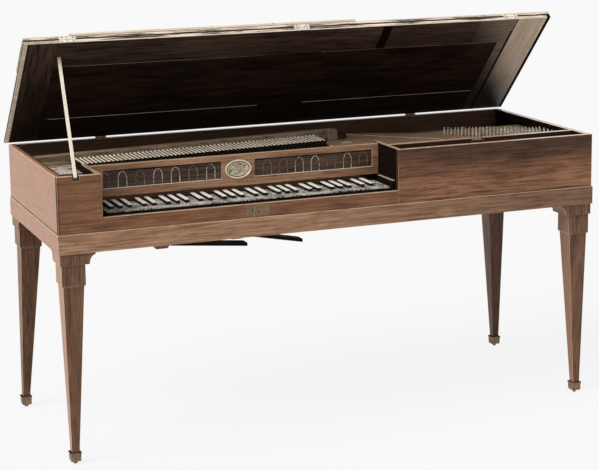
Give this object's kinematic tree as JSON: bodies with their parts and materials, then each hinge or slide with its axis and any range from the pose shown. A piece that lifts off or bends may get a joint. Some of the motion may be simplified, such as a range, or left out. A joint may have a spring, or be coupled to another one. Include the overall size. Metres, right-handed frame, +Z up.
{
  "type": "square piano",
  "caption": "Square piano on tapered legs with castors: propped lid, folding flap and fall board, moving keys, damper levers and knee levers.",
  "frame": {"origin": "on the floor, below the middle of the case", "axes": "+X to the player's right along the keyboard, +Y from the keyboard to the back, +Z up"},
  "size_m": [1.65, 0.6027, 1.1512],
  "materials": {
    "case_veneer": "waxed dark red-brown figured veneer",
    "back_wood": "plain oiled dark wood",
    "nameboard_wood": "waxed veneer with recessed dark panels of light inlaid arches",
    "stand_wood": "waxed straight-grained wood, a little lighter than the case",
    "leg_wood": "waxed dark wood",
    "lid_wood": "nearly black polished wood",
    "plain_wood": "bare aged softwood",
    "damper_rail_wood": "bare pale wood",
    "plank_wood": "bare aged hardwood",
    "soundboard_wood": "bare aged spruce",
    "lever_wood": "bare and darkened wood with light tips",
    "knee_lever_wood": "dark stained wood",
    "natural_wood": "polished black wood",
    "sharp_bone": "polished bone slips on black blocks, on a wooden key",
    "key_groups": "polished black naturals, sharps topped with bone",
    "prop_wood": "bare pale wood",
    "hinge_brass": "dull brass",
    "castor_brass": "tarnished brass",
    "lock_brass": "dull brass",
    "plaque_brass": "dull brass rim round a bare pale field"
  },
  "bodies": {
    "case": {"left_side": "case_veneer", "right_side": "case_veneer", "left_front_panel": "case_veneer", "right_front_panel": "case_veneer", "left_cheek": "case_veneer", "right_cheek": "case_veneer", "key_slip": "case_veneer", "inner_rail": "case_veneer", "back_wall": "back_wood", "nameboard": "nameboard_wood", "front_rail": "stand_wood", "back_rail": "stand_wood", "left_rail": "stand_wood", "right_rail": "stand_wood", "leg_front_left": "leg_wood", "leg_front_right": "leg_wood", "leg_back_left": "leg_wood", "leg_back_right": "leg_wood", "bottom_board": "plain_wood", "key_frame": "plain_wood", "hammer_rail": "plain_wood", "hitch_plank": "plain_wood", "knee_blocks": "plain_wood", "belly_rail": "plain_wood", "damper_rail": "damper_rail_wood", "wrest_plank": "plank_wood", "treble_plank": "plank_wood", "soundboard": "soundboard_wood", "lid_hinge_left": "hinge_brass", "lid_hinge_right": "hinge_brass", "lock_plate": "lock_brass", "name_plaque": "plaque_brass"},
    "lid": {"lid": "lid_wood", "flap_hinge_left": "hinge_brass", "flap_hinge_middle": "hinge_brass", "flap_hinge_right": "hinge_brass"},
    "flap": {"lid_flap": "lid_wood"},
    "fall": {"fall_board": "lid_wood"},
    "prop": {"prop_stick": "prop_wood"},
    "dampers": {"damper_levers": "lever_wood"},
    "knee_left": {"knee_lever_left": "knee_lever_wood"},
    "knee_right": {"knee_lever_right": "knee_lever_wood"},
    "castor_front_left": {"castor_front_left": "castor_brass"},
    "castor_front_right": {"castor_front_right": "castor_brass"},
    "castor_back_left": {"castor_back_left": "castor_brass"},
    "castor_back_right": {"castor_back_right": "castor_brass"},
    "keys_bass": {"keys_bass": "key_groups"},
    "key_c": {"key_c": "natural_wood"},
    "key_c_sharp": {"key_c_sharp": "sharp_bone"},
    "key_d": {"key_d": "natural_wood"},
    "key_d_sharp": {"key_d_sharp": "sharp_bone"},
    "key_e": {"key_e": "natural_wood"},
    "key_f": {"key_f": "natural_wood"},
    "key_f_sharp": {"key_f_sharp": "sharp_bone"},
    "key_g": {"key_g": "natural_wood"},
    "key_g_sharp": {"key_g_sharp": "sharp_bone"},
    "key_a": {"key_a": "natural_wood"},
    "key_a_sharp": {"key_a_sharp": "sharp_bone"},
    "key_b": {"key_b": "natural_wood"},
    "keys_treble": {"keys_treble": "key_groups"}
  },
  "joints": [
    {"name": "lid_hinge", "type": "hinge", "parent": "case", "child": "lid", "pos_m": [0, 0.299, 0.8045], "axis": [1, 0, 0], "range_deg": [0, 45.5]},
    {"name": "prop_fold", "type": "hinge", "parent": "lid", "child": "prop", "pos_m": [-0.718, 0.01904, 1.07968], "axis": [-0.9746, 0.2084, -0.0825], "range_deg": [0, 87.6]},
    {"name": "flap_hinge", "type": "hinge", "parent": "lid", "child": "flap", "pos_m": [0, -0.012, 1.13681], "axis": [1, 0, 0], "range_deg": [0, 180]},
    {"name": "fall_hinge", "type": "hinge", "parent": "flap", "child": "fall", "pos_m": [0, 0.07829, 1.0622], "axis": [-1, 0, 0], "range_deg": [0, 90]},
    {"name": "knee_lever_right_lift", "type": "hinge", "parent": "case", "child": "knee_right", "pos_m": [-0.257, -0.1965, 0.5815], "axis": [0, -1, 0], "range_deg": [0, 7]},
    {"name": "knee_lever_left_lift", "type": "hinge", "parent": "case", "child": "knee_left", "pos_m": [-0.491, -0.2425, 0.5855], "axis": [0, -1, 0], "range_deg": [0, 7]},
    {"name": "damper_lift", "type": "hinge", "parent": "case", "child": "dampers", "pos_m": [-0.29301, 0.0929, 0.789], "axis": [-0.9944, -0.1058, 0], "range_deg": [0, 2.5]},
    {"name": "castor_front_left_swivel", "type": "hinge", "parent": "case", "child": "castor_front_left", "pos_m": [-0.783, -0.2655, 0.011], "axis": [0, 0, 1], "continuous": true},
    {"name": "castor_front_right_swivel", "type": "hinge", "parent": "case", "child": "castor_front_right", "pos_m": [0.783, -0.2655, 0.011], "axis": [0, 0, 1], "continuous": true},
    {"name": "castor_back_left_swivel", "type": "hinge", "parent": "case", "child": "castor_back_left", "pos_m": [-0.7965, 0.279, 0.011], "axis": [0, 0, 1], "continuous": true},
    {"name": "castor_back_right_swivel", "type": "hinge", "parent": "case", "child": "castor_back_right", "pos_m": [0.7965, 0.279, 0.011], "axis": [0, 0, 1], "continuous": true},
    {"name": "keys_bass_press", "type": "hinge", "parent": "case", "child": "keys_bass", "pos_m": [-0.45943, -0.0755, 0.673], "axis": [1, 0, 0], "range_deg": [0, 2.1], "stiffness_Nm_per_rad": 21.7, "springref_deg": -5.73},
    {"name": "key_c_press", "type": "hinge", "parent": "case", "child": "key_c", "pos_m": [-0.24339, -0.0755, 0.673], "axis": [1, 0, 0], "range_deg": [0, 2.1], "stiffness_Nm_per_rad": 0.7, "springref_deg": -5.73},
    {"name": "key_c_sharp_press", "type": "hinge", "parent": "case", "child": "key_c_sharp", "pos_m": [-0.22945, -0.0755, 0.673], "axis": [1, 0, 0], "range_deg": [0, 2.1], "stiffness_Nm_per_rad": 0.7, "springref_deg": -5.73},
    {"name": "key_d_press", "type": "hinge", "parent": "case", "child": "key_d", "pos_m": [-0.21552, -0.0755, 0.673], "axis": [1, 0, 0], "range_deg": [0, 2.1], "stiffness_Nm_per_rad": 0.7, "springref_deg": -5.73},
    {"name": "key_d_sharp_press", "type": "hinge", "parent": "case", "child": "key_d_sharp", "pos_m": [-0.20158, -0.0755, 0.673], "axis": [1, 0, 0], "range_deg": [0, 2.1], "stiffness_Nm_per_rad": 0.7, "springref_deg": -5.73},
    {"name": "key_e_press", "type": "hinge", "parent": "case", "child": "key_e", "pos_m": [-0.18764, -0.0755, 0.673], "axis": [1, 0, 0], "range_deg": [0, 2.1], "stiffness_Nm_per_rad": 0.7, "springref_deg": -5.73},
    {"name": "key_f_press", "type": "hinge", "parent": "case", "child": "key_f", "pos_m": [-0.17403, -0.0755, 0.673], "axis": [1, 0, 0], "range_deg": [0, 2.1], "stiffness_Nm_per_rad": 0.7, "springref_deg": -5.73},
    {"name": "key_f_sharp_press", "type": "hinge", "parent": "case", "child": "key_f_sharp", "pos_m": [-0.16076, -0.0755, 0.673], "axis": [1, 0, 0], "range_deg": [0, 2.1], "stiffness_Nm_per_rad": 0.7, "springref_deg": -5.73},
    {"name": "key_g_press", "type": "hinge", "parent": "case", "child": "key_g", "pos_m": [-0.14748, -0.0755, 0.673], "axis": [1, 0, 0], "range_deg": [0, 2.1], "stiffness_Nm_per_rad": 0.7, "springref_deg": -5.73},
    {"name": "key_g_sharp_press", "type": "hinge", "parent": "case", "child": "key_g_sharp", "pos_m": [-0.13421, -0.0755, 0.673], "axis": [1, 0, 0], "range_deg": [0, 2.1], "stiffness_Nm_per_rad": 0.7, "springref_deg": -5.73},
    {"name": "key_a_press", "type": "hinge", "parent": "case", "child": "key_a", "pos_m": [-0.12094, -0.0755, 0.673], "axis": [1, 0, 0], "range_deg": [0, 2.1], "stiffness_Nm_per_rad": 0.7, "springref_deg": -5.73},
    {"name": "key_a_sharp_press", "type": "hinge", "parent": "case", "child": "key_a_sharp", "pos_m": [-0.10766, -0.0755, 0.673], "axis": [1, 0, 0], "range_deg": [0, 2.1], "stiffness_Nm_per_rad": 0.7, "springref_deg": -5.73},
    {"name": "key_b_press", "type": "hinge", "parent": "case", "child": "key_b", "pos_m": [-0.09439, -0.0755, 0.673], "axis": [1, 0, 0], "range_deg": [0, 2.1], "stiffness_Nm_per_rad": 0.7, "springref_deg": -5.73},
    {"name": "keys_treble_press", "type": "hinge", "parent": "case", "child": "keys_treble", "pos_m": [0.03504, -0.0755, 0.673], "axis": [1, 0, 0], "range_deg": [0, 2.1], "stiffness_Nm_per_rad": 12.6, "springref_deg": -5.73}
  ],
  "couplings": [
    {"joint": "prop_fold", "follows": "lid_hinge", "ratio": 1.9225},
    {"joint": "damper_lift", "follows": "knee_lever_right_lift", "ratio": 0.355}
  ]
}
